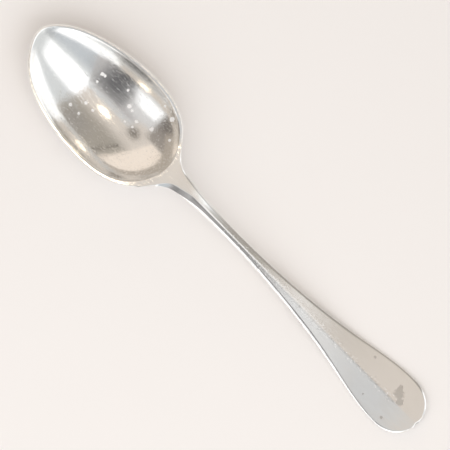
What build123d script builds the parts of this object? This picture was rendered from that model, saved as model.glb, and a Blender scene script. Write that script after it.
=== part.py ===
from build123d import *

import os
from math import asin, cos, pi, radians, sin, sqrt

import numpy as np

# A teaspoon lying bowl up on a flat surface, in millimetres: a dished bowl, a forged handle and the hard
# solder that joins them. Stations are measured along the spoon, from the tip of the bowl to the end of the
# handle. The finished pieces are then moved so that the origin is under the middle of the spoon, on the
# surface it lies on.

# Lengths along the spoon
overall_length = 140.0
bowl_length = 49.1        # tip to the outside of the heel
lap_shoulder = 2.8        # the handle's shoulders leave the rim this far before the heel
throat_setback = 1.5      # behind the heel, where the shoulders turn into the neck
neck_setback = 5.2
crest_setback = 9.0       # where the flat of the neck has narrowed to the ridge
waist_setback = 17.4      # the slimmest part of the stem
fan_setback = 8.6         # ahead of the handle's end, where the fan is widest
touch_setback = 13.0      # ahead of the handle's end, where the fan touches the surface

# Bowl outline and dish
bowl_width = 29.0
egg_skew = 0.175          # how much fuller the heel half of the outline is
egg_fullness = 0.128      # how far both ends swell
egg_pinch = 0.215         # how far they are drawn in again at the very ends
pinch_power = 8           # how close to the ends the pinch stays
tip_wear = 1.5            # sideways shift of the tip, worn by use
tip_wear_power = 13       # how close to the tip the wear stays
belly_shift = 0.08        # how far the deepest point lies towards the heel
side_slope = 60.0         # slope of the sides at the rim, in degrees
rim_width_tip = 0.8
rim_width_side = 1.0
rim_width_heel = 0.85
bowl_wall = 0.9           # sheet thickness at the bottom
rest_flat_length = 5.5    # small flat worn where the bowl rests

# Heights of the rim and of the handle's front, above the surface
rim_tip_height = 9.0
rim_belly_height = 8.6
heel_height = 9.1
crown_setback = 6.5       # behind the heel, where the handle starts to fall
crown_height = 9.0
descent_start = 16.0      # behind the heel, where the stem falls away evenly
descent_start_height = 7.85
descent_stop = 46.0       # ahead of the handle's end, where it levels out
descent_stop_height = 4.15
end_height = 2.1

# Handle widths, measured across the whole handle
throat_width = 7.0
neck_width = 4.9
waist_width = 3.15
blade_width = 4.8         # two fifths of the way from the waist to the fan
blade_share = 0.4
flare_width = 10.2        # seven tenths of the way
flare_share = 0.72
fan_width = 15.3
fan_roundness = 2.2       # exponent of the rounded end, where 2 is an ellipse
end_land = 3.4            # width of the blunt end between the corners
nick_depth = 0.4
nick_radius = 1.5

# Handle thickness, from the back to the ridge
shoulder_thickness = 0.8
heel_thickness = 1.6
neck_thickness = 2.2
waist_thickness = 2.5
fan_thickness = 1.7
end_thickness = 1.5

# Ridge and edges of the handle
ridge_land = 0.36         # width of the worn ridge
neck_facet = 1.55         # width of the sloping facets beside the flat of the neck
shoulder_fall = 0.2       # how far the facets fall from the ridge to the edge
neck_fall = 0.4
waist_fall = 0.4
fan_fall = 0.5
end_fall = 0.3
edge_bevel = 0.55
bevel_share = 1 / 3       # the most of the edge's height that one bevel takes

# Joint between bowl and handle
solder_gap = 0.12
drop_thickness = 1.1      # the tongue on the back of the bowl, where it leaves the neck
drop_tip_thickness = 0.35
drop_width = 6.2
drop_reach = 10.0         # from the heel towards the tip
drop_inset = 0.9          # the tongue runs into the neck up to this depth below its front

# How finely the forms are drawn
lift_rounds = 4
probe_points = 200
ring_points = 24          # points round each ring of the dish
dish_rings = (0.3, 0.5, 0.68, 0.84, 1.0, 1.08)  # reach of each ring, 1 at the rim
cap_ring = 1.16
cap_rise = 6.0            # the dish is carried on this far above the handle's crown, to be cut at the rim
rim_points = 15
tool_margin = 12.0        # how far a cutting form stands past what it cuts
shoulder_sections = 7
stem_sections = 11
turn_sections = 7
stem_stop = 4.3           # the stem's even sections end this far before the widest part of the fan
fan_lead = 1.72           # the last section before the widest part

# Stations worked out from the lengths
heel = bowl_length
shoulder = heel - lap_shoulder
throat = heel + throat_setback
neck = heel + neck_setback
crest = heel + crest_setback
waist = heel + waist_setback
crown = heel + crown_setback
fan = overall_length - fan_setback
touch = overall_length - touch_setback
blade = waist + blade_share * (fan - waist)
flare = waist + flare_share * (fan - waist)


def smooth_line(stations, start_slope=None, end_slope=None):
    """A line of continuous curvature through (x, value) stations, unbent at an end that has no slope."""
    xs, ys = np.array(stations, float).T
    runs = np.diff(xs)
    grades = np.diff(ys) / runs
    count = len(xs)
    matrix = np.eye(count)
    right = np.zeros(count)
    for i in range(1, count - 1):
        matrix[i, i - 1:i + 2] = runs[i - 1], 2 * (runs[i - 1] + runs[i]), runs[i]
        right[i] = 6 * (grades[i] - grades[i - 1])
    if start_slope is not None:
        matrix[0, :2] = 2 * runs[0], runs[0]
        right[0] = 6 * (grades[0] - start_slope)
    if end_slope is not None:
        matrix[-1, -2:] = runs[-1], 2 * runs[-1]
        right[-1] = 6 * (end_slope - grades[-1])
    bends = np.linalg.solve(matrix, right)

    def value(x):
        i = int(np.clip(np.searchsorted(xs, x) - 1, 0, count - 2))
        before = x - xs[i]
        after = xs[i + 1] - x
        curve = (bends[i] * after**3 + bends[i + 1] * before**3) / (6 * runs[i])
        left = (ys[i] / runs[i] - bends[i] * runs[i] / 6) * after
        return float(curve + left + (ys[i + 1] / runs[i] - bends[i + 1] * runs[i] / 6) * before)

    return value


thickness_line = smooth_line([
    (shoulder, shoulder_thickness),
    (heel, heel_thickness),
    (neck, neck_thickness),
    (waist, waist_thickness),
    (touch, fan_thickness),
    (overall_length, end_thickness),
])


def front_line_with(fan_lift):
    """The rim and the front of the handle, one line in side view, with the fan raised by a lift."""
    return smooth_line([
        (0, rim_tip_height),
        (heel / 2, rim_belly_height),
        (heel, heel_height),
        (crown, crown_height),
        (heel + descent_start, descent_start_height),
        (overall_length - descent_stop, descent_stop_height),
        (touch, fan_thickness + fan_lift),
        (overall_length, end_height + fan_lift),
    ])


# The fan is raised until its back just touches the surface
fan_lift = 0.0
for _ in range(lift_rounds):
    front_line = front_line_with(fan_lift)
    probes = np.linspace(crown, overall_length, probe_points)
    fan_lift -= min(front_line(x) - thickness_line(x) for x in probes)
front_line = front_line_with(fan_lift)


def egg_swell(along):
    """How much wider than an ellipse the egg outline is, at -1 on the tip to 1 on the heel."""
    pinch = egg_pinch * min(1.0, abs(along))**pinch_power
    return 1 + egg_skew * along + egg_fullness * along**2 - pinch


def egg_half_width(along):
    """Half width of the egg outline, as a share."""
    return sqrt(max(0.0, 1 - along**2)) * egg_swell(along)


egg_peak = max(egg_half_width(along) for along in np.linspace(-1, 1, 2 * probe_points + 1))


def dish_depth(reach):
    """Height share of a round-bottomed dish, 0 at the flat and 1 at the rim, straight on above the rim."""
    steepest = radians(side_slope)
    flat = rest_flat_length / bowl_length

    def arc(share):
        return 1 - cos(asin(share * sin(steepest)))

    if reach <= 1:
        return (arc(reach) - arc(flat)) / (arc(1) - arc(flat))
    return 1 + (reach - 1) * sin(steepest)**2 / cos(steepest) / (arc(1) - arc(flat))


def dish_ring(reach, start, end, half_width, floor, level=None):
    """A closed ring of the dish. A ring with a level is flat there."""
    points = []
    for i in range(ring_points):
        angle = 2 * pi * i / ring_points
        along = reach * cos(angle)
        across = reach * sin(angle)
        x = (start + end) / 2 + (end - start) / 2 * (along + belly_shift * (1 - reach**2))
        y = half_width * across * egg_swell(along) / egg_peak + tip_wear * ((1 - along) / 2)**tip_wear_power
        z = floor + dish_depth(reach) * (front_line(x) - floor) if level is None else level
        points.append((x, y, z))
    return Wire([Edge.make_spline([Vector(*p) for p in points], periodic=True)])


def dish_form(start, end, half_width, floor):
    """The solid inside one surface of the bowl, carried on above the rim."""
    sizes = (start, end, half_width, floor)
    rings = [dish_ring(rest_flat_length / bowl_length, *sizes, level=floor)]
    rings += [dish_ring(reach, *sizes) for reach in dish_rings]
    rings.append(dish_ring(cap_ring, *sizes, level=crown_height + cap_rise))
    return Solid.make_loft(rings)


def bowl_back(growth=0.0):
    """The solid inside the bowl's back, grown outwards by this much."""
    return dish_form(-growth, bowl_length + growth, bowl_width / 2 + growth, -growth)


def bowl_front():
    """The hollow of the bowl."""
    return dish_form(rim_width_tip, bowl_length - rim_width_heel, bowl_width / 2 - rim_width_side, bowl_wall)


def above_front_line():
    """Everything above the rim, to cut the bowl along its rim line."""
    ends = (-tool_margin, heel + tool_margin)
    stations = np.linspace(*ends, rim_points)
    rim_line = Edge.make_spline([Vector(x, -bowl_width, front_line(x)) for x in stations])
    top = crown_height + cap_rise + tool_margin
    top_corners = [Vector(x, -bowl_width, top) for x in reversed(ends)]
    corners = [rim_line @ 1, *top_corners, rim_line @ 0]
    lines = [Edge.make_line(a, b) for a, b in zip(corners, corners[1:])]
    return Solid.extrude(Face(Wire([rim_line, *lines])), Vector(0, 2 * bowl_width, 0))


def rim_half_width(x):
    """Half width of the bowl's outside at a station."""
    return bowl_width / 2 * egg_half_width(2 * x / bowl_length - 1) / egg_peak


step = 0.01
rim_slope = (rim_half_width(shoulder + step) - rim_half_width(shoulder - step)) / (2 * step)
side_line = smooth_line(
    [
        (shoulder, rim_half_width(shoulder)),
        (throat, throat_width / 2),
        (neck, neck_width / 2),
        (waist, waist_width / 2),
        (blade, blade_width / 2),
        (flare, flare_width / 2),
        (fan, fan_width / 2),
    ],
    start_slope=rim_slope,
    end_slope=0,
)
fall_line = smooth_line([
    (shoulder, shoulder_fall),
    (neck, neck_fall),
    (waist, waist_fall),
    (fan, fan_fall),
    (overall_length, end_fall),
])


# The rounded end is a superellipse that stops where it is as narrow as the blunt end
end_share = (1 - (end_land / fan_width)**fan_roundness)**(1 / fan_roundness)
end_run = fan_setback / end_share


def handle_half_width(x):
    """Half width of the handle: the side line as far as the fan, then a rounded end."""
    if x <= fan:
        return side_line(x)
    share = (x - fan) / end_run
    return fan_width / 2 * (1 - share**fan_roundness)**(1 / fan_roundness)


def flat_half_width(x):
    """Half width of the flat along the front: broad on the neck, a worn ridge behind the crest."""
    if x >= crest:
        return ridge_land / 2
    broad = max(0.0, side_line(min(x, neck)) - neck_facet)
    return ridge_land / 2 + broad * min(1.0, (crest - x) / (crest - neck))


def handle_section(x):
    """The handle's outline across one station."""
    half = handle_half_width(x)
    front = front_line(x)
    back = front - thickness_line(x)
    edge = front - fall_line(x)
    bevel = min(edge_bevel, bevel_share * (edge - back))
    right = [
        (flat_half_width(x), front),
        (half - bevel, edge),
        (half, edge - bevel),
        (half, back + bevel),
        (half - bevel, back),
    ]
    outline = right + [(-y, z) for y, z in reversed(right)]
    return Wire.make_polygon([Vector(x, y, z) for y, z in outline])


def handle_stations():
    """Stations of the sections: close together at the shoulders and round the end."""
    shoulders = np.linspace(shoulder, neck, shoulder_sections)
    stem = np.linspace(crest, fan - stem_stop, stem_sections)
    turn = [fan + end_run * sin(asin(end_share) * i / turn_sections) for i in range(turn_sections)]
    return [*shoulders, *stem, fan - fan_lead, *turn, overall_length]


def drop_form():
    """The tongue that follows the back of the bowl under the heel."""
    half = drop_width / 2
    inner = heel - drop_reach + half
    outer = heel + drop_thickness
    sides = Polyline((inner, -half), (outer, -half), (outer, half), (inner, half))
    tip = ThreePointArc((inner, half), (inner - half, 0), (inner, -half))
    prism = extrude(make_face(sides + tip), amount=heel_height - drop_inset)
    grown = dish_form(0, heel + drop_thickness, bowl_width / 2 + drop_thickness, -drop_tip_thickness)
    return grown & prism


def forged_bar():
    """The whole handle before its seat is cut to the bowl."""
    bar = Solid.make_loft([handle_section(x) for x in handle_stations()])
    nick = Pos(overall_length + nick_radius - nick_depth, 0, 0) * Cylinder(nick_radius, 2 * crown_height)
    return bar + drop_form() - nick


bar = forged_bar()
back = bowl_back()
seat = bowl_back(solder_gap)
pieces = {
    "bowl": back - bowl_front() - above_front_line(),
    "handle": bar - seat,
    "solder_seam": (bar & seat) - back,
}
os.makedirs("parts", exist_ok=True)
for name, piece in pieces.items():
    shape = Pos(-overall_length / 2, 0, 0) * piece
    print(name, len(shape.solids()), round(shape.volume, 2), shape.bounding_box())
    export_step(shape, f"parts/{name}.step")
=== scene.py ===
# %% [markdown]
# # A silver teaspoon
# The spoon lies bowl up on a pale table, and the camera looks straight down on it. On the real one a
# dished bowl is lapped and hard-soldered to a forged handle, and then the whole is polished as one. The
# frame holds those three pieces at their real size. Here each of them is made again on the same lines as
# a smooth mesh, with the worn rim, the soft ridge and the scratched metal that plain solids lack.

# %% Load the frame
from math import asin, pi, radians

import bmesh
import bpy
import numpy as np
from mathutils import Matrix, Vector


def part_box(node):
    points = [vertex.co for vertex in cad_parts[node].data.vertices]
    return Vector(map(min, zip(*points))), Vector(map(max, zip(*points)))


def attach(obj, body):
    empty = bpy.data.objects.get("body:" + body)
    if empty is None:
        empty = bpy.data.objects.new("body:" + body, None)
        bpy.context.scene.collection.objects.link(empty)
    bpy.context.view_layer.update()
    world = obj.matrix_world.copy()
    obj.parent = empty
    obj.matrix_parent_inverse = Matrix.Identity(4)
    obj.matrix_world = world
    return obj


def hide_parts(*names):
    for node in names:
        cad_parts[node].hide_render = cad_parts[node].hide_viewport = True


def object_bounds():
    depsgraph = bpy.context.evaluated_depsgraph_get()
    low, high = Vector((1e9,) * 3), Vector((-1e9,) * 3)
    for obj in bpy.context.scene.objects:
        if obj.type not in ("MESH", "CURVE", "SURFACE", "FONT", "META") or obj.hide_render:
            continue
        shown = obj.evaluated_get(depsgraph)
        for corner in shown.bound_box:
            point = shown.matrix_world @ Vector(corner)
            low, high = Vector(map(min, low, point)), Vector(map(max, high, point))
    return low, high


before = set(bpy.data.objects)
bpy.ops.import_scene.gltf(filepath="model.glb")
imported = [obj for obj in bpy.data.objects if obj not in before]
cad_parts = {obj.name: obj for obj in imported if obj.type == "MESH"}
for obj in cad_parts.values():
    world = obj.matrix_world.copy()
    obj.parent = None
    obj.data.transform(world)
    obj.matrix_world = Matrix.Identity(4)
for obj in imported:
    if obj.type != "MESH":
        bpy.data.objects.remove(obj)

cad_low, cad_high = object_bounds()
print("frame box", tuple(cad_low), tuple(cad_high))

# %% [markdown]
# ## Stations along the spoon
# A spoon is easiest to draw as a smith measures it: by stations along its length, counted from the tip of
# the bowl. The frame gives the overall sizes, and what lies between them is a setback from the heel or
# from the end. All of it could be points on one long curve, but named stations can be moved one at a
# time.

# %% Stations in metres
mm = 0.001
bowl_low, bowl_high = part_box("bowl")
tip_x = bowl_low.x
bowl_length = bowl_high.x - tip_x
bowl_width = bowl_high.y - bowl_low.y
overall_length = cad_high.x - tip_x
blade_share = 0.4
flare_share = 0.72
heel = bowl_length
shoulder = heel - 2.8 * mm
throat = heel + 1.5 * mm
neck = heel + 5.2 * mm
crown = heel + 6.5 * mm
crest = heel + 9.0 * mm
descent_start = heel + 16.0 * mm
waist = heel + 17.4 * mm
descent_stop = overall_length - 46.0 * mm
touch = overall_length - 13.0 * mm
fan = overall_length - 8.6 * mm
ridge_end = overall_length - 3.5 * mm
blade = waist + blade_share * (fan - waist)
flare = waist + flare_share * (fan - waist)
print("bowl", round(bowl_length / mm, 2), "by", round(bowl_width / mm, 2), "mm")
print("whole spoon", round(overall_length / mm, 2), "mm")

# %% [markdown]
# ## One smooth line
# Polished silver shows every kink, because a reflection jumps where a surface's slope does. So heights,
# widths and thicknesses are all drawn as cubic splines, whose slope and bend run on through each station.
# Blender's own curves could do it too, but a function of the station is simpler to combine into sections.
# The first such line is the height of the rim and of the handle's front above the table.


# %% Smooth line through stations
def smooth_line(stations, start_slope=None, end_slope=None):
    """A function through (station, value) pairs, with no bend at an end that is given no slope."""
    places, values = np.array(stations, float).T
    runs = np.diff(places)
    grades = np.diff(values) / runs
    count = len(places)
    matrix = np.eye(count)
    turns = np.zeros(count)
    for i in range(1, count - 1):
        matrix[i, i - 1:i + 2] = runs[i - 1], 2 * (runs[i - 1] + runs[i]), runs[i]
        turns[i] = 6 * (grades[i] - grades[i - 1])
    if start_slope is not None:
        matrix[0, :2] = 2 * runs[0], runs[0]
        turns[0] = 6 * (grades[0] - start_slope)
    if end_slope is not None:
        matrix[-1, -2:] = runs[-1], 2 * runs[-1]
        turns[-1] = 6 * (end_slope - grades[-1])
    bends = np.linalg.solve(matrix, turns)

    def value(x):
        i = np.clip(np.searchsorted(places, x) - 1, 0, count - 2)
        run = runs[i]
        before = x - places[i]
        after = places[i + 1] - x
        curve = (bends[i] * after**3 + bends[i + 1] * before**3) / (6 * run)
        from_first = (values[i] / run - bends[i] * run / 6) * after
        from_second = (values[i + 1] / run - bends[i + 1] * run / 6) * before
        return curve + from_first + from_second

    return value


front_line = smooth_line([
    (0, 9.0 * mm),
    (heel / 2, 8.6 * mm),
    (heel, 9.1 * mm),
    (crown, 9.0 * mm),
    (descent_start, 7.85 * mm),
    (descent_stop, 4.15 * mm),
    (touch, 1.71 * mm),
    (overall_length, 2.11 * mm),
])
front_heights = [round(float(front_line(x)) / mm, 2) for x in (0, heel, crown, fan)]
print("rim and front heights in mm", front_heights)

# %% [markdown]
# ## The bowl
# The bowl is a sheet of silver, sunk over a stake into an egg-shaped dish. It could be a sphere pulled to
# shape, but then the rim would wander. Instead each point is placed by how far out it is, 0 in the middle
# and 1 at the rim, and by its angle round the egg. The inside has the section of a round arc, which is
# what makes the bowl mirror the room upside down. Towards the heel it rises more gently, and the outside
# has a small flat worn by the table.

# %% Egg outline
egg_skew = 0.175
egg_fullness = 0.128
egg_pinch = 0.215
pinch_power = 8
egg_samples = 401


def egg_swell(along):
    """How much wider than an ellipse the egg is, at -1 on the tip to 1 on the heel."""
    pinch = egg_pinch * np.minimum(1, np.abs(along))**pinch_power
    return 1 + egg_skew * along + egg_fullness * along**2 - pinch


along_egg = np.linspace(-1, 1, egg_samples)
egg_peak = np.max(np.sqrt(1 - along_egg**2) * egg_swell(along_egg))
print("the egg is", round(float(egg_peak), 3), "times as wide as its ellipse")

# %% Dish formulas
tip_wear = 1.5 * mm
tip_wear_power = 13
belly_shift = 0.08
side_slope = radians(60)
heel_spread = radians(40)


def arc_rise(reach, slope):
    """Height of a round arc, 0 in its middle, at a share of its reach. The slope is the one at its end."""
    return 1 - np.sqrt(1 - (np.clip(reach, 0, 1) * np.sin(slope))**2)


def dish_point(reach, angle, start, end, half, floor, flat, ease):
    """A point of the dish: reach is 0 in the middle and 1 at the rim, angle 0 at the heel."""
    reach, angle = np.broadcast_arrays(reach, angle)
    along = reach * np.cos(angle)
    across = reach * np.sin(angle)
    x = (start + end) / 2 + (end - start) / 2 * (along + belly_shift * (1 - reach**2))
    y = half * across * egg_swell(along) / egg_peak + tip_wear * ((1 - along) / 2)**tip_wear_power
    slope = side_slope - ease * np.exp(-(((angle + pi) % (2 * pi) - pi) / heel_spread)**2)
    level = arc_rise(flat, slope)
    depth = (arc_rise(np.maximum(reach, flat), slope) - level) / (arc_rise(1, slope) - level)
    return np.stack([x, y, floor + depth * (front_line(x) - floor)], -1)


# %% Inside and outside of the sheet
bowl_wall = 0.9 * mm
rim_tip = 0.8 * mm
rim_side = 1.0 * mm
rim_heel = 0.85 * mm
rim_worn = 0.05 * mm
heel_ease = radians(15)
rest_flat = 5.5 * mm / bowl_length
inside = dict(
    start=rim_tip,
    end=bowl_length - rim_heel,
    half=bowl_width / 2 - rim_side,
    floor=bowl_wall,
    flat=0.0,
    ease=heel_ease,
)
outside = dict(
    start=-rim_worn,
    end=bowl_length,
    half=bowl_width / 2 + rim_worn,
    floor=0.0,
    flat=rest_flat,
    ease=0.0,
)
print("bottom of the dish in mm", (dish_point(0, 0, **inside) / mm).round(2))

# %% [markdown]
# ## From rings to a mesh
# Both the bowl and the handle are stacks of closed rings with equally many points, so one helper joins a
# stack into quads. Where a stack ends, its ring is closed by a face. A Subdivision modifier could smooth
# a coarser mesh, but it would also round what has to stay crisp. Smooth shading is kept everywhere but at
# real corners, which are found by their angle.

# %% Mesh helpers
corner_angle = radians(38)


def make_piece(name, points, faces):
    """A smooth-shaded mesh object from points measured from the spoon's tip."""
    mesh = bpy.data.meshes.new(name)
    mesh.from_pydata((np.asarray(points) + (tip_x, 0, 0)).tolist(), [], faces)
    work = bmesh.new()
    work.from_mesh(mesh)
    bmesh.ops.recalc_face_normals(work, faces=work.faces)
    work.to_mesh(mesh)
    work.free()
    mesh.shade_smooth()
    mesh.set_sharp_from_angle(angle=corner_angle)
    piece = bpy.data.objects.new(name, mesh)
    bpy.context.scene.collection.objects.link(piece)
    print(name, len(mesh.vertices), "points", len(mesh.polygons), "faces")
    return piece


def ring_faces(rings, around, first=0):
    """Quads between neighbouring rings, numbered from a first point."""
    here = np.arange(around)
    there = np.roll(here, -1)
    start = first + np.arange(rings - 1)[:, None] * around
    corners = [start + here, start + there, start + around + there, start + around + here]
    return np.stack(corners, -1).reshape(-1, 4).tolist()


def ring_cap(ring, around, first=0):
    """The face that closes one ring."""
    start = first + ring * around
    return list(range(start, start + around))


# %% Bends and rounded corners
longest_leg = 0.48


def between(first, last, shares):
    """Rows of points on the straight from one row to another."""
    return first + (last - first) * np.reshape(shares, (-1, 1, 1))


def bend(first, elbow, last, share):
    """Points of a soft bend from the first to the last, drawn towards an elbow."""
    return (1 - share)**2 * first + 2 * share * (1 - share) * elbow + share**2 * last


def round_corner(before, corner, after, radius, steps):
    """A rounded corner. Its curve leaves each leg at the radius, or just short of the leg's middle."""
    def leave(other):
        leg = other - corner
        length = np.linalg.norm(leg, axis=-1, keepdims=True)
        return corner + leg / length * np.minimum(radius, longest_leg * length)

    share = np.linspace(0, 1, steps).reshape(-1, *[1] * np.ndim(corner))
    return bend(leave(before), corner, leave(after), share)


# %% [markdown]
# ## The fuller shoulder
# The spoon isn't quite even: on its right the outline runs on in a fuller curve before it turns into the
# neck, as filing by hand leaves it. In Blender such a bulge could be pulled out with proportional
# editing. A small function does the same to any row of points. It pushes them outward, most at one
# station and less to both sides, and because the bowl and the handle share it, they stay together.

# %% Fuller right shoulder
shoulder_swell = 1.2 * mm
swell_setback = 1.5 * mm
swell_ahead = 4.4 * mm
swell_behind = 4.2 * mm
swell_ramp = 4.0 * mm


def swell_side(points, weight=1.0):
    """Points moved out where the right shoulder is fuller than the egg."""
    past_middle = points[..., 0] - heel + swell_setback
    reach = np.where(past_middle < 0, swell_ahead, swell_behind)
    along_share = np.exp(-(past_middle / reach)**2)
    side_share = np.clip(-points[..., 1] / swell_ramp, 0, 1)
    grow = shoulder_swell * along_share * side_share * weight
    return points - grow[..., None] * (0, 1, 0)


print("fuller by", shoulder_swell / mm, "mm at", round((heel - swell_setback) / mm, 2), "mm from the tip")

# %% [markdown]
# ## The rim
# The rim was filed flat. Use has left it sloping a little inward, with its outer edge worn to a steep
# bevel and every corner soft. These strips are only tenths of a millimetre wide, but they draw the bright
# and the dark line round the bowl. A Bevel modifier would treat both edges alike, so each strip gets
# rings of its own. Under the handle's shoulders the bevel shrinks to almost nothing, because there the
# handle's front carries on level.

# %% Walls of the bowl
around = 240
wall_rings = 70
back_rings = 44
wall_start = 0.004
wall_stop = 0.972
back_start = 0.962
angles = np.arange(around) * 2 * pi / around
wall_reaches = np.linspace(wall_start, wall_stop, wall_rings)[:, None]
back_reaches = np.linspace(back_start, rest_flat, back_rings)[:, None]
inner_wall = dish_point(wall_reaches, angles, **inside)
outer_wall = dish_point(back_reaches, angles, **outside)
print("bowl walls of", wall_rings, "and", back_rings, "rings")

# %% Strips of the rim
inner_round = 0.1 * mm
land_round = 0.1 * mm
foot_round = 0.15 * mm
rim_bevel_middle = 0.42 * mm
rim_bevel_lean = 0.04 * mm
rim_bevel_slope = 1.4
rim_lean = 0.12 * mm
rim_steps = 7
handle_reach = radians(22)
free_reach = radians(29)
least_free = 0.03
land_shares = np.array((0.1, 0.5, 0.9))
from_heel = np.minimum(angles, 2 * pi - angles)
rim_free = np.clip((from_heel - handle_reach) / (free_reach - handle_reach), least_free, 1)[:, None]
inner_rim = dish_point(1, angles, **inside) - rim_free * (0, 0, rim_lean)
outer_rim = dish_point(1, angles, **outside)
rim_bevel = (rim_bevel_middle - rim_bevel_lean * np.sin(angles)[:, None]) * rim_free
inward = inner_rim - outer_rim
land_end = outer_rim + inward / np.linalg.norm(inward, axis=-1, keepdims=True) * rim_bevel
rim_foot = outer_rim - rim_bevel * (0, 0, rim_bevel_slope)
inner_edge = round_corner(inner_wall[-1], inner_rim, outer_rim, inner_round, rim_steps)
land_curve = round_corner(inner_edge[-1], land_end, rim_foot, land_round * rim_free, rim_steps)
foot_curve = round_corner(land_end, rim_foot, outer_wall[0], foot_round * rim_free, rim_steps)
rim_land = between(inner_edge[-1], land_curve[0], land_shares)
print("rim bevel up to", round(float(rim_bevel.max()) / mm, 2), "mm")

# %% Make the bowl
swell_fade = 6
bowl_rings = np.concatenate([
    inner_wall,
    inner_edge,
    swell_side(rim_land, land_shares[:, None]),
    swell_side(land_curve),
    swell_side(foot_curve),
    swell_side(outer_wall, back_reaches**swell_fade),
])
bowl_faces = ring_faces(len(bowl_rings), around)
bowl_faces.append(ring_cap(0, around))
bowl_faces.append(ring_cap(len(bowl_rings) - 1, around))
bowl = make_piece("bowl", bowl_rings.reshape(-1, 3), bowl_faces)

# %% [markdown]
# ## The handle's lines
# The handle is forged: shoulders that run into the rim, a flat neck that narrows to a ridge, a slim stem
# and a fan. A bevelled curve could give the stem, but not the flat neck or the ridge, so it is a stack of
# sections. They are drawn from a few smooth lines: half the width, the thickness, how far the facets fall
# from the ridge to the edge, and how broad the edge's bevel is. The two sides are filed differently,
# which is why one edge shines and the other doesn't, and before the end of the fan the ridge dies out.

# %% Handle outline
fan_width = 15.3 * mm
fan_roundness = 2.2
end_land = 3.4 * mm
near = 0.1 * mm
rim_sweep = radians(60)
rim_samples = 200
rim_angles = np.linspace(0, rim_sweep, rim_samples)
rim_table = dish_point(1, rim_angles, **outside)
rim_stations = rim_table[::-1, 0]
rim_halves = rim_table[::-1, 1]
shoulder_half = float(np.interp(shoulder, rim_stations, rim_halves))
rim_ahead, rim_behind = np.interp((shoulder + near, shoulder - near), rim_stations, rim_halves)
side_line = smooth_line(
    [
        (shoulder, shoulder_half),
        (throat, 3.5 * mm),
        (neck, 2.45 * mm),
        (waist, 1.575 * mm),
        (blade, 2.4 * mm),
        (flare, 5.1 * mm),
        (fan, fan_width / 2),
    ],
    start_slope=(rim_ahead - rim_behind) / (2 * near),
    end_slope=0,
)
end_share = (1 - (end_land / fan_width)**fan_roundness)**(1 / fan_roundness)
end_run = (overall_length - fan) / end_share


def half_width(x):
    """Half the handle's width: its side line, then a rounded end."""
    share = np.clip((x - fan) / end_run, 0, 1)
    rounded = fan_width / 2 * (1 - share**fan_roundness)**(1 / fan_roundness)
    return np.where(x <= fan, side_line(np.minimum(x, fan)), rounded)


print("shoulder half width in mm", round(shoulder_half / mm, 2))

# %% Thickness, facets and bevels
ridge_land = 0.36 * mm
neck_facet = 1.55 * mm
thickness_line = smooth_line([
    (shoulder, 0.8 * mm),
    (heel, 1.6 * mm),
    (neck, 2.2 * mm),
    (waist, 2.5 * mm),
    (touch, 1.7 * mm),
    (overall_length, 1.5 * mm),
])
right_fall = smooth_line([
    (shoulder, 0.3 * mm),
    (throat, 0.44 * mm),
    (neck, 0.46 * mm),
    (waist, 0.27 * mm),
    (blade, 0.15 * mm),
    (flare, 0.28 * mm),
    (fan, 0.48 * mm),
    (ridge_end, 0.18 * mm),
    (overall_length, 0.04 * mm),
])
left_fall = smooth_line([
    (shoulder, 0.08 * mm),
    (neck, 0.1 * mm),
    (waist, 0.33 * mm),
    (blade, 0.33 * mm),
    (fan, 0.5 * mm),
    (ridge_end, 0.18 * mm),
    (overall_length, 0.04 * mm),
])
right_bevel = smooth_line([
    (shoulder, 0.34 * mm),
    (throat, 0.12 * mm),
    (neck, 0.12 * mm),
    (crest, 0.5 * mm),
    (waist, 0.76 * mm),
    (fan, 0.72 * mm),
    (overall_length, 0.6 * mm),
])
left_bevel = smooth_line([
    (shoulder, 0.34 * mm),
    (neck, 0.45 * mm),
    (waist, 0.5 * mm),
    (overall_length, 0.5 * mm),
])


def flat_half(x):
    """Half the width of the flat along the front, broad on the neck and only a ridge behind the crest."""
    broad = np.maximum(0, side_line(np.minimum(x, neck)) - neck_facet)
    return ridge_land / 2 + broad * np.clip((crest - x) / (crest - neck), 0, 1)


print("flat of the neck in mm", round(2 * float(flat_half(neck)) / mm, 2))

# %% [markdown]
# ## The handle's sections
# Each side of a section has four corners: the ridge, the foot of the facet, the foot of the bevel and the
# edge of the back. A file leaves them sharp and polishing rounds them, so each is rounded by its own
# radius. Both sides have equally many points, on the front and on the back, so that neighbouring sections
# always fit.

# %% Handle stations
end_round = 0.45 * mm
lap_power = 1.5
shoulder_sections = 44
stem_sections = 190
end_sections = 70
turn_end = asin((overall_length - fan) / end_run)
stations = np.concatenate([
    np.linspace(shoulder, neck, shoulder_sections),
    np.linspace(neck, fan, stem_sections)[1:],
    fan + end_run * np.sin(np.linspace(0, turn_end, end_sections)[1:]),
])
half = half_width(stations)
lap = np.clip((neck - stations) / (neck - shoulder), 0, 1)**lap_power
end_depth = np.clip((stations - overall_length + end_round) / end_round, 0, 1)
soften = end_round * (1 - np.sqrt(1 - end_depth**2))
thick_side = thickness_line(stations) - soften
thick_middle = thickness_line(stations + lap * (heel - shoulder)) - soften
zero = np.zeros_like(stations)
front_middle = np.stack([zero, soften], -1)
back_middle = np.stack([zero, thick_middle], -1)
print("handle from", round(stations[0] / mm, 2), "to", round(stations[-1] / mm, 2), "mm")

# %% Handle sections
facet_ramp = 2.2 * mm
broadest_flat = 0.8
bevel_share = 0.42
most_slant = 2.0
left_bevel_slope = 0.85
right_bevel_slope = 0.96
ridge_round = 0.22 * mm
bevel_round = 0.1 * mm
side_round = 0.16 * mm
back_round = 0.8 * mm
front_steps = 5
side_steps = 6
back_steps = 9
flat_shares = (0, 0.3, 0.6, 0.9)
facet_shares = (0.06, 0.35, 0.65, 0.94)


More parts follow.
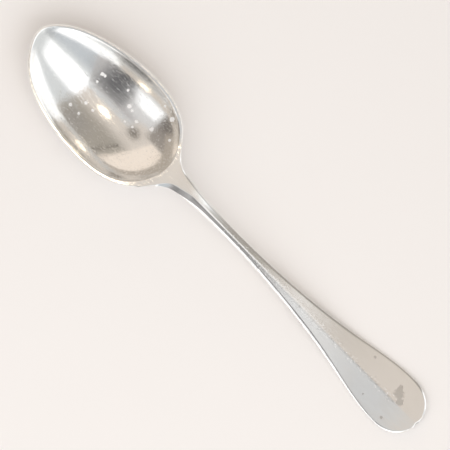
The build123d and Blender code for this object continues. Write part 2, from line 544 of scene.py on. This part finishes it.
def half_sections(side, fall_line, bevel_line, bevel_slope):
    """Widths and depths from mid-front to mid-back, and how many of them are on the front."""
    fall = fall_line(stations) * np.clip((stations - shoulder) / facet_ramp, 0, 1) + soften
    ridge = np.stack([np.minimum(flat_half(stations), broadest_flat * half), soften], -1)
    bevel = np.minimum(bevel_line(stations), bevel_share * (thick_side - fall))
    slant = np.minimum(most_slant, np.hypot(1, np.gradient(side, stations)))
    facet_foot = np.stack([half - bevel * slant, fall], -1)
    bevel_foot = np.stack([half, fall + bevel_slope * bevel], -1)
    back_edge = np.stack([half, thick_side], -1)
    ridge_curve = round_corner(front_middle, ridge, facet_foot, ridge_round, front_steps)
    facet_curve = round_corner(ridge, facet_foot, bevel_foot, bevel_round, front_steps)
    bevel_curve = round_corner(facet_foot, bevel_foot, back_edge, side_round, side_steps)
    back_curve = round_corner(bevel_foot, back_edge, back_middle, back_round, back_steps)
    front_chain = np.concatenate([
        between(front_middle, ridge_curve[0], flat_shares),
        ridge_curve,
        between(ridge_curve[-1], facet_curve[0], facet_shares),
        facet_curve,
        bevel_curve,
    ])
    back_shares = np.linspace(0, 1, len(front_chain) - len(back_curve) + 1)[1:]
    back_chain = np.concatenate([back_curve, between(back_curve[-1], back_middle, back_shares)])
    return np.concatenate([front_chain, back_chain]), len(front_chain)


right_edge = swell_side(np.stack([stations, -half, zero], -1))[:, 1]
left_side, chain = half_sections(half, left_fall, left_bevel, left_bevel_slope)
right_side, chain = half_sections(right_edge, right_fall, right_bevel, right_bevel_slope)
sections = np.concatenate([left_side, right_side[-2:0:-1] * (-1, 1)]).transpose(1, 0, 2)
print("handle", len(stations), "sections of", sections.shape[1], "points")

# %% [markdown]
# ## The sections in place
# Each section is flat so far: a width and a depth below the front. Now its points get their place along
# the spoon. Near the heel they are pushed back to the rim's curve, at the end they give way to the little
# nick, and the height is always the front line less the depth. The first section laps the rim by a hair,
# as a soldered seat does, and its underside reaches into the bowl's sheet, so that no slit shows from any
# side.

# %% Place the sections
nick_depth = 0.32 * mm
nick_half = 1.05 * mm
nick_fade = 3.0 * mm
undercut = 0.15 * mm
seat_lap = 0.12 * mm
seat_rise = 0.006 * mm
tuck_power = 8
width = sections[..., 0]
depth = sections[..., 1]
share = np.abs(width) / half[:, None]
pushed = np.interp(share * shoulder_half, rim_table[:, 1], rim_table[:, 0]) - shoulder
nick = nick_depth * np.cos(np.clip(width / nick_half, -1, 1) * pi / 2)**2
fade = np.clip((stations - overall_length + nick_fade) / nick_fade, 0, 1)[:, None]**2
tuck = lap[:, None]**tuck_power
on_back = depth > thick_side[:, None] / 2
along = stations[:, None] + lap[:, None] * pushed - nick * fade - tuck * seat_lap
height = front_line(along) - depth + tuck * seat_rise
along = along - tuck * (depth / np.tan(side_slope) + undercut * on_back)
handle_points = swell_side(np.stack([along, width, height], -1)).reshape(-1, 3)
print("handle end at", round(float(along.max()) / mm, 2), "mm from the tip")

# %% Close the handle
ring = sections.shape[1]
handle_faces = ring_faces(len(stations), ring)
handle_faces.append(ring_cap(len(stations) - 1, ring))
for i in range(chain - 1):
    left_quad = [i, i + 1, 2 * chain - 2 - i, 2 * chain - 1 - i]
    handle_faces.append(left_quad)
    handle_faces.append([(ring - j) % ring for j in left_quad])
print("handle faces", len(handle_faces))

# %% [markdown]
# ## The drop on the back
# Under the heel the handle ends in a drop, a tongue that laps the back of the bowl and carries the
# joint's load. It belongs to the forging, so it is part of the handle's mesh. It could be cut to the bowl
# with a Boolean, but that leaves ragged faces. Instead its rows of points follow the back of the bowl,
# raised along the middle and sunk at the sides, and then bend into the neck. A second layer a little
# above them, hidden in the metal, closes them to a shell.

# %% Back of the bowl
place_rounds = 40
first_guess = 0.8


def dish_place(x, y, sizes):
    """The reach and angle of the dish at a place seen from above."""
    reach_squared = np.full(np.shape(x), first_guess)
    for _ in range(place_rounds):
        along = (2 * x - sizes["start"] - sizes["end"]) / (sizes["end"] - sizes["start"])
        along = along - belly_shift * (1 - reach_squared)
        across = y * egg_peak / (sizes["half"] * egg_swell(along))
        reach_squared = along**2 + across**2
    return np.sqrt(reach_squared), np.arctan2(across, along)


def back_point(x, y):
    """The point of the bowl's back over a place."""
    reach, angle = dish_place(x, y, outside)
    return dish_point(reach, angle, **outside)


def back_normal(x, y):
    """The direction out of the bowl's back at a place."""
    slope_x = (back_point(x + near, y)[..., 2] - back_point(x - near, y)[..., 2]) / (2 * near)
    slope_y = (back_point(x, y + near)[..., 2] - back_point(x, y - near)[..., 2]) / (2 * near)
    out = np.stack([slope_x, slope_y, -np.ones_like(slope_x)], -1)
    return out / np.linalg.norm(out, axis=-1, keepdims=True)


# %% Tongue of the drop
drop_half = 3.1 * mm
drop_reach = 10.0 * mm
drop_heel = 1.0 * mm
drop_tip = 0.35 * mm
drop_sink = 0.18 * mm
drop_stop = heel - 1.9 * mm
drop_start = heel - drop_reach
drop_power = 3
tip_clear = 0.02
tip_count = 16
side_count = 18
drop_columns = 31
tip_angles = np.linspace(tip_clear, pi / 2, tip_count)
drop_along = np.concatenate([
    drop_start + drop_half * (1 - np.cos(tip_angles)),
    np.linspace(drop_start + drop_half, drop_stop, side_count)[1:],
])
drop_across = np.linspace(-1, 1, drop_columns)
from_tip = drop_along - heel + drop_reach
tip_share = 1 - np.minimum(from_tip, drop_half) / drop_half
drop_width = drop_half * np.sqrt(np.clip(1 - tip_share**2, 0, 1))
drop_height = drop_tip + (drop_heel - drop_tip) * from_tip / drop_reach
place_x = np.broadcast_to(drop_along[:, None], (len(drop_along), len(drop_across)))
place_y = drop_width[:, None] * drop_across
rise = (drop_height[:, None] + drop_sink) * (1 - np.abs(drop_across)**drop_power) - drop_sink
tongue_rows = back_point(place_x, place_y) + back_normal(place_x, place_y) * rise[..., None]
print("drop of", len(tongue_rows), "rows, up to", round(float(rise.max()) / mm, 2), "mm thick")

# %% Bend into the neck
bend_end = neck + 2.0 * mm
neck_share = 0.9
neck_crown = 0.5 * mm
neck_sink = 0.05 * mm
elbow_station = heel + 0.5 * mm
elbow_drop = 0.25 * mm
bend_count = 15
neck_half = float(half_width(bend_end)) * neck_share
neck_floor = front_line(bend_end) - thickness_line(bend_end)
neck_row = np.stack([
    np.full_like(drop_across, bend_end),
    neck_half * drop_across,
    neck_floor + neck_crown * np.abs(drop_across)**drop_power + neck_sink,
], -1)
elbow_row = (tongue_rows[-1] + neck_row) / 2
elbow_row[:, 0] = elbow_station
elbow_row[:, 2] = neck_row[:, 2] - elbow_drop
bend_shares = np.linspace(0, 1, bend_count)[1:, None, None]
bend_rows = bend(tongue_rows[-1], elbow_row, neck_row, bend_shares)
print("bend of", len(bend_rows), "rows")

# %% Make the handle
drop_skin = 0.3 * mm
drop_rows = np.concatenate([tongue_rows, bend_rows])
drop_rings = np.concatenate([drop_rows, drop_rows[:, ::-1] + (0, 0, drop_skin)], axis=1)
rows, columns = drop_rings.shape[:2]
first = len(handle_points)
handle_faces += ring_faces(rows, columns, first)
handle_faces.append(ring_cap(0, columns, first))
handle_faces.append(ring_cap(rows - 1, columns, first))
handle_points = np.concatenate([handle_points, drop_rings.reshape(-1, 3)])
handle = make_piece("handle", handle_points, handle_faces)

# %% [markdown]
# ## The solder
# Hard solder fills the joint and shows only as a thin bead where the drop and the shoulders meet the
# bowl's back. It could be painted on, but a real bead catches the light, so it is a fine round curve laid
# along the joint.

# %% Joint line
wing_reach = 0.955
wing_from = 25.5
wing_to = 13.0
wing_points = 8
tongue_start = heel - 2.2 * mm
side_points = 6
tip_points = 7
wing_angles = np.radians(np.linspace(wing_from, wing_to, wing_points))
tongue_angles = np.linspace(0, pi / 2, tip_points)
side_stations = np.linspace(tongue_start, drop_start + drop_half, side_points)[:-1]
wing = dish_point(wing_reach, wing_angles, **outside)[:, :2]
tongue_side = np.stack([side_stations, np.full_like(side_stations, drop_half)], -1)
tongue_tip = np.stack([
    drop_start + drop_half * (1 - np.cos(tongue_angles)),
    drop_half * np.sin(tongue_angles),
], -1)[::-1]
half_line = np.concatenate([wing, tongue_side, tongue_tip])
joint_line = np.concatenate([half_line, half_line[-2::-1] * (1, -1)])
bead_points = back_point(joint_line[:, 0], joint_line[:, 1])
print("joint line of", len(bead_points), "points")

# %% Make the solder bead
bead_radius = 0.16 * mm
bead_curve = bpy.data.curves.new("solder_seam", "CURVE")
bead_curve.dimensions = "3D"
bead_curve.bevel_depth = bead_radius
bead_curve.bevel_resolution = 4
bead_curve.use_fill_caps = True
spline = bead_curve.splines.new("NURBS")
spline.points.add(len(bead_points) - 1)
for point, place in zip(spline.points, bead_points):
    point.co = (place[0] + tip_x, place[1], place[2], 1)
spline.order_u = 3
spline.use_endpoint_u = True
solder = bpy.data.objects.new("solder_seam", bead_curve)
bpy.context.scene.collection.objects.link(solder)
print("solder bead", 2 * bead_radius / mm, "mm thick")

# %% [markdown]
# ## Shader sums as Python sums
# A finish is a small calculation at each point of a surface, and nodes are a clumsy way to write one.
# This class stands for one value in a shader. Adding, multiplying or raising it adds the Math node that
# does so, and its method node makes any other node: its settings are set first and its sockets are then
# filled or linked.


# %% A value in a shader
class Signal:
    """One output socket in a shader's tree, with arithmetic."""

    def __init__(self, socket):
        self.socket = socket

    @staticmethod
    def node(tree, kind, settings, sockets, output=0):
        """A new node's output."""
        made = tree.nodes.new(kind)
        for name, value in settings.items():
            setattr(made, name, value)
        for key, value in sockets.items():
            if isinstance(value, Signal):
                tree.links.new(value.socket, made.inputs[key])
            else:
                made.inputs[key].default_value = value
        return Signal(made.outputs[output])

    def other(self, name):
        """Another output of the same node."""
        return Signal(self.socket.node.outputs[name])

    def math(self, operation, *values):
        """A Math node on these values."""
        settings = {"operation": operation}
        return Signal.node(self.socket.id_data, "ShaderNodeMath", settings, dict(enumerate(values)))

    def __add__(self, value):
        return self.math("ADD", self, value)

    __radd__ = __add__

    def __sub__(self, value):
        return self.math("SUBTRACT", self, value)

    def __rsub__(self, value):
        return self.math("SUBTRACT", value, self)

    def __mul__(self, value):
        return self.math("MULTIPLY", self, value)

    __rmul__ = __mul__

    def __truediv__(self, value):
        return self.math("DIVIDE", self, value)

    def __rtruediv__(self, value):
        return self.math("DIVIDE", value, self)

    def __pow__(self, value):
        return self.math("POWER", self, value)

    def step(self, low, high):
        """0 below low and 1 above high, with a soft change between. Low may be the larger."""
        settings = {"interpolation_type": "SMOOTHSTEP"}
        sockets = {"Value": self, "From Min": low, "From Max": high}
        return Signal.node(self.socket.id_data, "ShaderNodeMapRange", settings, sockets)


def mix_colours(factor, first, second):
    """A colour between two others."""
    tree = next(v for v in (factor, first, second) if isinstance(v, Signal)).socket.id_data
    filled = {0: factor}
    for key, colour in ((6, first), (7, second)):
        filled[key] = colour if isinstance(colour, Signal) else (*colour, 1)
    return Signal.node(tree, "ShaderNodeMix", {"data_type": "RGBA"}, filled, output=2)


# %% [markdown]
# ## Silver
# Old silver is close to a mirror, but never clean. Its marks could be photographed and wrapped round the
# spoon, but then they would be blurred close up. Noise stretched along the spoon gives scratches, round
# noise gives tarnish, and distance from a point gives a spot. They change only the colour, the roughness,
# how metallic the surface is and a small bump, so that the reflections still do the work.


# %% Material and noise
def new_material(name):
    """A material with an empty tree, its shader and the place on the spoon in metres."""
    material = bpy.data.materials.new(name)
    material.use_nodes = True
    tree = material.node_tree
    tree.nodes.clear()
    output = tree.nodes.new("ShaderNodeOutputMaterial")
    shader = tree.nodes.new("ShaderNodeBsdfPrincipled")
    tree.links.new(shader.outputs[0], output.inputs[0])
    place = Signal.node(tree, "ShaderNodeTexCoord", {}, {}, output="Object")
    return material, tree, shader, place


def stretched_noise(tree, place, scales, turn=0.0, detail=3.0, roughness=0.6):
    """Noise with its own scale along, across and up, in grains per metre."""
    turned = {"Vector": place, "Scale": scales, "Rotation": (0, 0, turn)}
    placed = Signal.node(tree, "ShaderNodeMapping", {}, turned)
    sockets = {"Vector": placed, "Scale": 1.0, "Detail": detail, "Roughness": roughness}
    return Signal.node(tree, "ShaderNodeTexNoise", {}, sockets)


def link(tree, value, shader, socket):
    """Feeds a value to one of the shader's sockets."""
    tree.links.new(value.socket, shader.inputs[socket])


def bump(tree, height, distance):
    """A bump of a height from 0 to 1, this many metres high."""
    sockets = {"Height": height, "Distance": distance, "Strength": 1.0}
    return Signal.node(tree, "ShaderNodeBump", {}, sockets)


# %% Spots
spot_grain = (1900, 1900, 1900)
raggedness = 1.3
spot_edge = 1.05
spot_core = 0.75


def spots_mask(tree, place, spots):
    """Ragged drops, each given as along, across and radius in millimetres: 1 inside and 0 outside."""
    parts = Signal.node(tree, "ShaderNodeSeparateXYZ", {}, {"Vector": place})
    ragged = stretched_noise(tree, place, spot_grain, detail=2.0) - 0.5
    total = 0.0
    for along, across, radius in spots:
        off_x = parts.other("X") - along * mm
        off_y = parts.other("Y") - across * mm
        away = (off_x * off_x + off_y * off_y)**0.5 / (radius * mm) + ragged * raggedness
        total = away.step(spot_edge, spot_core) + total
    return total.math("MINIMUM", total, 1.0)


# %% [markdown]
# ## The bowl's finish
# The bowl is the most polished part. Cloths leave long scratches, shorter flecks and a few slanting
# hairs, the metal waves a little, a faint yellow tarnish stays in patches, and drops of water have dried
# to chalky spots. The spots could be scattered at random, but a viewer knows a spoon by its larger ones,
# so they have places.

# %% Bowl finish
bright_silver = (0.95, 0.943, 0.925)
warm_silver = (0.90, 0.88, 0.845)
chalk = (0.97, 0.965, 0.955)
metal_relief = 0.05 * mm
bowl_spots = (
    (-49.9, 5.5, 0.40),
    (-50.7, 5.3, 0.56),
    (-50.3, 3.0, 0.38),
    (-48.5, -2.9, 0.50),
    (-45.8, -2.9, 0.42),
    (-50.9, -6.0, 0.48),
    (-47.7, -6.1, 0.46),
    (-40.0, 4.5, 0.60),
    (-38.7, 4.2, 0.42),
    (-35.9, 3.0, 0.48),
    (-35.7, 1.3, 0.36),
    (-38.1, 0.9, 0.36),
    (-31.8, 4.4, 0.62),
    (-29.8, 9.9, 0.70),
    (-33.5, 11.0, 0.35),
    (-43.1, 7.1, 0.40),
    (-26.4, 5.7, 0.42),
)


def silver_bowl():
    """Mirror-bright silver with scratches, tarnish and dried drops."""
    material, tree, shader, place = new_material("bowl_silver")
    scratches = stretched_noise(tree, place, (90, 4200, 4200), turn=radians(3)).step(0.55, 0.70)
    flecks = stretched_noise(tree, place, (900, 3400, 3400), turn=radians(-8), detail=2.0).step(0.56, 0.68)
    hairs = stretched_noise(tree, place, (160, 9000, 9000), turn=radians(-24)).step(0.62, 0.74)
    tarnish = stretched_noise(tree, place, (110, 150, 150), detail=5.0).step(0.42, 0.72)
    spots = spots_mask(tree, place, bowl_spots)
    colour = mix_colours(tarnish * 0.45, bright_silver, warm_silver)
    colour = mix_colours(spots, colour, chalk)
    link(tree, colour, shader, "Base Color")
    link(tree, 1 - 0.75 * spots, shader, "Metallic")
    wear = 0.08 + 0.15 * scratches + 0.18 * flecks + 0.06 * tarnish + 0.08 * hairs + 0.3 * spots
    link(tree, wear, shader, "Roughness")
    waves = stretched_noise(tree, place, (150, 300, 300), detail=3.0)
    height = waves * 0.65 + scratches * 0.11 + flecks * 0.05 + hairs * 0.03 + spots * 0.06
    link(tree, bump(tree, height, metal_relief), shader, "Normal")
    return material


finishes = {"bowl_silver": silver_bowl()}
print("bowl finish with", len(bowl_spots), "spots")

# %% [markdown]
# ## The handle's finish
# Fingers and cloths rub the handle more than the bowl, so it is duller. Along the ridge the metal is worn
# to bright and dark speckles. Near the neck, a thin dark line along the ridge is painted shade, which dims
# its reflection there. All of it stops where the ridge dies out, and a few dark stains lie on the fan.
# Wear could be found from the mesh's edges, but the ridge's place is known, so the distance from it is
# enough.

# %% Handle finish
# The colour for dark wear and stains, and also for the painted shade line on the ridge.
dull_silver_and_shade = (0.62, 0.60, 0.57)
handle_stains = (
    (61.2, 2.2, 1.45),
    (62.8, 0.9, 1.1),
    (60.4, 3.5, 0.8),
    (50.2, 4.4, 0.42),
    (54.7, -4.4, 0.26),
    (62.3, -5.3, 0.46),
)
ridge_offset = 0.22 * mm
wear_reach = 2.2 * mm
wear_core = 0.2 * mm
# Width, core and start of the painted shade line along the ridge near the neck.
shade_line_reach = 0.55 * mm
shade_line_core = 0.1 * mm
shade_line_start = -15.0 * mm
wear_start = -8.0 * mm
wear_full = 4.0 * mm
wear_fade = 60.5 * mm
wear_stop = 64.5 * mm


def silver_handle():
    """Duller silver, worn along its ridge, with painted shade on it near the neck, and stained on its fan.
    """
    material, tree, shader, place = new_material("handle_silver")
    parts = Signal.node(tree, "ShaderNodeSeparateXYZ", {}, {"Vector": place})
    scratches = stretched_noise(tree, place, (110, 6000, 6000), turn=radians(2)).step(0.54, 0.74)
    hairs = stretched_noise(tree, place, (220, 8000, 8000), turn=radians(28)).step(0.62, 0.76)
    tarnish = stretched_noise(tree, place, (140, 260, 260), detail=5.0).step(0.42, 0.72)
    speckle = stretched_noise(tree, place, (1900, 2600, 2600), detail=2.0)
    below_ridge = parts.other("Y") + ridge_offset
    away = (below_ridge * below_ridge)**0.5
    station = parts.other("X")
    on_ridge = station.step(wear_stop, wear_fade)
    worn = away.step(wear_reach, wear_core) * station.step(wear_start, wear_full) * on_ridge
    bright_wear = worn * speckle.step(0.58, 0.68)
    dark_wear = worn * speckle.step(0.42, 0.34)
    # A thin dark line on the ridge near the neck: painted shade that darkens the ridge's reflection.
    painted_ridge_shade = away.step(shade_line_reach, shade_line_core) * station.step(shade_line_start, wear_start) * on_ridge
    stains = spots_mask(tree, place, handle_stains)
    colour = mix_colours(tarnish * 0.4, bright_silver, warm_silver)
    colour = mix_colours(bright_wear * 0.45, colour, chalk)
    colour = mix_colours(dark_wear * 0.5 + painted_ridge_shade * 0.38 + stains * 0.8, colour, dull_silver_and_shade)
    link(tree, colour, shader, "Base Color")
    link(tree, 1 - 0.35 * bright_wear, shader, "Metallic")
    wear = 0.14 + 0.07 * scratches + 0.06 * tarnish + 0.06 * hairs + 0.2 * bright_wear + 0.15 * stains
    link(tree, wear, shader, "Roughness")
    waves = stretched_noise(tree, place, (130, 300, 300), detail=2.0)
    height = waves * 0.5 + scratches * 0.03 + hairs * 0.03 + bright_wear * 0.05
    link(tree, bump(tree, height, metal_relief), shader, "Normal")
    return material


finishes["handle_silver"] = silver_handle()
print("handle finish with", len(handle_stains), "stains")

# %% [markdown]
# ## The solder's finish
# Hard solder has brass in it, so it is a little yellower than the silver, and a dressed bead keeps some
# grain. One even colour could pass for it, since it hardly shows, but grain in colour, gloss and relief
# costs little.

# %% Solder finish
pale_solder = (0.88, 0.85, 0.78)
deep_solder = (0.80, 0.76, 0.67)
solder_relief = 0.02 * mm


def dressed_solder():
    """Grainy solder, a little yellower than the silver."""
    material, tree, shader, place = new_material("hard_solder")
    grain = stretched_noise(tree, place, (1800, 1800, 1800), detail=3.0)
    colour = mix_colours(grain.step(0.35, 0.7), pale_solder, deep_solder)
    link(tree, colour, shader, "Base Color")
    link(tree, 0.24 + 0.2 * grain, shader, "Roughness")
    link(tree, bump(tree, grain, solder_relief), shader, "Normal")
    shader.inputs["Metallic"].default_value = 1.0
    return material


finishes["hard_solder"] = dressed_solder()
print("finishes", sorted(finishes))

# %% [markdown]
# ## Dress the pieces
# A spoon has no joints, so every piece rides on the one body, root. Each piece gets its finish, takes the
# place of the plain solid that it was drawn over, and names the slot of the record that its finish
# belongs to.

# %% Finish and place the pieces
for piece, node, slot in (
    (bowl, "bowl", "bowl_silver"),
    (handle, "handle", "handle_silver"),
    (solder, "solder_seam", "hard_solder"),
):
    piece.data.materials.append(finishes[slot])
    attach(piece, "root")
    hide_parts(node)
    print(piece.name, "stands for", node)

# %% [markdown]
# ## The table
# A pale table, large enough that its edge is far out of sight. Only its top shows, so one face is enough.
# It is not part of the object. A flat white would look like paper, so its colour drifts a little.

# %% Table finish
table_pale = (0.915, 0.887, 0.87)
table_dim = (0.90, 0.872, 0.855)


def pale_table():
    """A matt, nearly white top."""
    material, tree, shader, place = new_material("pale_table")
    drift = stretched_noise(tree, place, (14, 14, 14), detail=2.0)
    link(tree, mix_colours(drift, table_pale, table_dim), shader, "Base Color")
    shader.inputs["Roughness"].default_value = 0.75
    shader.inputs["Specular IOR Level"].default_value = 0.2
    return material


# %% Make the table
table_half = 4.0
table_top = -0.03 * mm
table_mesh = bpy.data.meshes.new("table")
corner_signs = ((-1, -1), (1, -1), (1, 1), (-1, 1))
table_corners = [(x * table_half, y * table_half, table_top) for x, y in corner_signs]
table_mesh.from_pydata(table_corners, [], [(0, 1, 2, 3)])
table = bpy.data.objects.new("table", table_mesh)
bpy.context.scene.collection.objects.link(table)
table_mesh.materials.append(pale_table())
print("table", 2 * table_half, "m wide")

# %% [markdown]
# ## The room
# Silver shows its surroundings, so the light is a whole room: windows, a beige wall, dark corners and a
# pale ceiling. A panorama picture could give one, but in a drawn room each thing can be moved until its
# reflection sits right. It is drawn as a map of the sky. The middle of the map is straight up, east is
# along the spoon towards its handle, north is to its left, and distances are in degrees from overhead.

# %% Room map
world = bpy.data.worlds.new("room")
bpy.context.scene.world = world
world.use_nodes = True
room_tree = world.node_tree
room_tree.nodes.clear()
overhead_guard = 1e-6
toward = Signal.node(room_tree, "ShaderNodeTexCoord", {}, {}, output="Generated")
parts = Signal.node(room_tree, "ShaderNodeSeparateXYZ", {}, {"Vector": toward})
east_part = parts.other("X")
north_part = parts.other("Y")
up_part = parts.other("Z")
tilt = up_part.math("ARCCOSINE", up_part) * (180 / pi)
spread = tilt / (east_part * east_part + north_part * north_part + overhead_guard)**0.5
east = east_part * spread
north = north_part * spread
print("room map with", len(room_tree.nodes), "nodes")


# %% Shapes on the map
def past(east_share, north_share, edge, blur):
    """1 past a straight edge on the map, given by the direction it is crossed in."""
    way = (east_share**2 + north_share**2)**0.5
    return ((east * east_share + north * north_share) / way).step(edge - blur, edge + blur)


def pane(west_edge, east_edge, south_edge, north_edge, blur):
    """A soft rectangle on the map, with its edges in degrees."""
    along = east.step(west_edge - blur, west_edge + blur) * east.step(east_edge + blur, east_edge - blur)
    up = north.step(south_edge - blur, south_edge + blur) * north.step(north_edge + blur, north_edge - blur)
    return along * up


def glow(east_middle, north_middle, east_size, north_size, soft):
    """A soft ellipse on the map."""
    off_east = (east - east_middle) / east_size
    off_north = (north - north_middle) / north_size
    return ((off_east * off_east + off_north * off_north)**0.5).step(1 + soft, 1 - soft)


# %% [markdown]
# ## Light in the room
# Soft patches of colour are laid on the map one over the other, as paper cut-outs would be: first the
# ceiling, then the walls, the windows and what stands before them. A window is only a little brighter
# than white paper, so that the silver doesn't glare. Low light along the horizon reaches the edges that
# face sideways.

# %% Light the room
warm_ceiling = (0.70, 0.635, 0.575)
window_light = (1.25, 1.26, 1.28)
low_light = (1.9, 1.92, 1.95)
far = 140
line_strength = 0.95
ceiling = past(1, 0, -24, 8)
window_wall = past(1, -0.1, 13.9, 1.3) * past(1, 0.15, 14.3, 1.3)
beige_wall = past(-0.936, 0.352, 45.8, 2) * past(0, 1, -12, 3)
wall_line = past(-0.949, 0.315, 35.6, 0.6) * past(0.949, -0.315, -37.4, 0.6) * past(0, 1, 31, 3)
low_wall = (tilt - north * 0.09).step(73.4, 75.2) * past(-0.8, 0.6, 20, 8) * past(-1, 0, 3, 4)
patches = (
    ("cool ceiling", (0.64, 0.645, 0.65), past(0, -1, 4, 4) * ceiling),
    ("dimmer ceiling", (0.52, 0.50, 0.495), past(0, -1, 14, 4) * ceiling),
    ("brown wall", (0.40, 0.365, 0.32), past(0, 1, 25, 14) * past(-1, 0, -20, 3)),
    ("door in it", (0.34, 0.315, 0.29), pane(0, 16, 44, far, 10)),
    ("beige wall", (0.92, 0.81, 0.71), beige_wall),
    ("dark corner", (0.33, 0.295, 0.265), past(-1, -0.12, 44, 4) * past(0, -1, 14, 3)),
    ("foot of the corner", (0.20, 0.178, 0.16), past(-1, -0.12, 45, 6) * past(0, -1, 42, 14)),
    ("window wall", (0.70, 0.72, 0.73), window_wall),
    ("its shaded side", (0.57, 0.60, 0.63), window_wall * past(0, -1, 33, 9)),
    ("its edge", (0.47, 0.495, 0.515), window_wall * past(0, -1, 37, 9) * past(-1, 0, -24, 7)),
    ("its foot", (0.45, 0.465, 0.48), window_wall * past(0, -1, 20, 7) * past(1, 0, 62, 8)),
    (
        "east window",
        window_light,
        window_wall * past(-1, 0, -61, 8) * past(0, -1, -29, 7) * past(0, 1, -21, 5),
    ),
    ("north window", window_light, past(0.62, 0.785, 72, 5) * past(0, 1, 46, 8) * past(1, 0, 20, 6)),
    ("low window", window_light, past(0.5, -0.87, 76, 6) * past(1, 0, 20, 5)),
    ("cupboard", (0.27, 0.265, 0.265), past(1, 0, -8, 4) * past(-1, 0, -15.5, 4) * past(0, -1, 20, 5)),
    ("its shade", (0.14, 0.138, 0.142), past(1, 0, -1, 5) * past(-1, 0, -10, 5) * past(0, -1, 34, 9)),
    ("pale wall", (0.70, 0.69, 0.685), past(-1, -0.1, 13, 4) * past(1, 0.05, -43, 4) * past(0, -1, 26, 7)),
    (
        "south window",
        window_light,
        past(-1, -0.35, 29, 6) * past(1, 0, -37, 4) * pane(-far, far, -73, -46, 5),
    ),
    ("hanging shade", (0.24, 0.215, 0.19), glow(-31, -2.5, 6, 9, 0.7)),
    ("line on the wall", (0.08, 0.07, 0.06), wall_line * line_strength),
    ("low wall", (0.44, 0.385, 0.33), low_wall),
    ("low light", low_light, tilt.step(84, 88) * past(0, -1, 40, 20) * past(1, 0, -40, 15)),
)
room = warm_ceiling
for name, colour, mask in patches:
    room = mix_colours(mask, room, colour)
background = Signal.node(room_tree, "ShaderNodeBackground", {}, {"Color": room, "Strength": 1.0})
world_output = room_tree.nodes.new("ShaderNodeOutputWorld")
room_tree.links.new(background.socket, world_output.inputs["Surface"])
print("room of", ", ".join(name for name, colour, mask in patches))

# %% [markdown]
# ## Two lamps
# The room alone would light the table evenly. A broad soft lamp at the lower right makes the table paler
# there and lays a weak shadow to the other side, but stays out of the reflections. A small, warm, oval
# lamp hangs low over the bowl. Because it is near, only the bowl mirrors it and the fan doesn't, which a
# patch on the far room could not do.


# %% Hang the lamps
def hang_lamp(name, place, aim, length, width, watts, colour):
    """An oval soft lamp that shines at a place and isn't seen itself."""
    data = bpy.data.lights.new(name, "AREA")
    data.shape = "ELLIPSE"
    data.size = length
    data.size_y = width
    data.energy = watts
    data.color = colour
    lamp = bpy.data.objects.new(name, data)
    lamp.location = place
    lamp.rotation_euler = (Vector(aim) - Vector(place)).to_track_quat("-Z", "Y").to_euler()
    lamp.visible_camera = False
    bpy.context.scene.collection.objects.link(lamp)
    return lamp


soft_lamp = hang_lamp(
    "soft_lamp",
    place=(0.15, -0.28, 0.45),
    aim=(0, 0, 0),
    length=0.9,
    width=0.9,
    watts=1.8,
    colour=(1.0, 0.985, 0.97),
)
soft_lamp.visible_glossy = False
warm_lamp = hang_lamp(
    "warm_lamp",
    place=(-0.055, 0.036, 0.25),
    aim=(-0.055, 0, 0),
    length=0.034,
    width=0.05,
    watts=0.012,
    colour=(1.0, 0.87, 0.68),
)
print("lamps", soft_lamp.name, warm_lamp.name)

# %% [markdown]
# ## The camera
# The picture is taken from straight above with a long lens, so that the rim, which is nearer, looks
# hardly larger than the table. An orthographic camera would lose even that little. The camera is turned
# about its own line of sight until the spoon runs from the upper left to the lower right.

# %% Place the camera
camera_height = 1.2
picture_width = 115.0 * mm
sight_height = 7.0 * mm
spoon_turn = radians(45.55)
sight_x = -1.05 * mm
sight_y = 0.65 * mm
sensor = 36.0
camera_data = bpy.data.cameras.new("camera")
camera_data.sensor_width = sensor
camera_data.lens = sensor * (camera_height - sight_height) / picture_width
camera_data.clip_end = 20.0
camera = bpy.data.objects.new("camera", camera_data)
camera.location = (sight_x, sight_y, camera_height)
camera.rotation_euler = (0, 0, spoon_turn)
bpy.context.scene.collection.objects.link(camera)
bpy.context.scene.camera = camera
bpy.context.scene.view_settings.view_transform = "Standard"
print("lens", round(camera_data.lens), "mm")
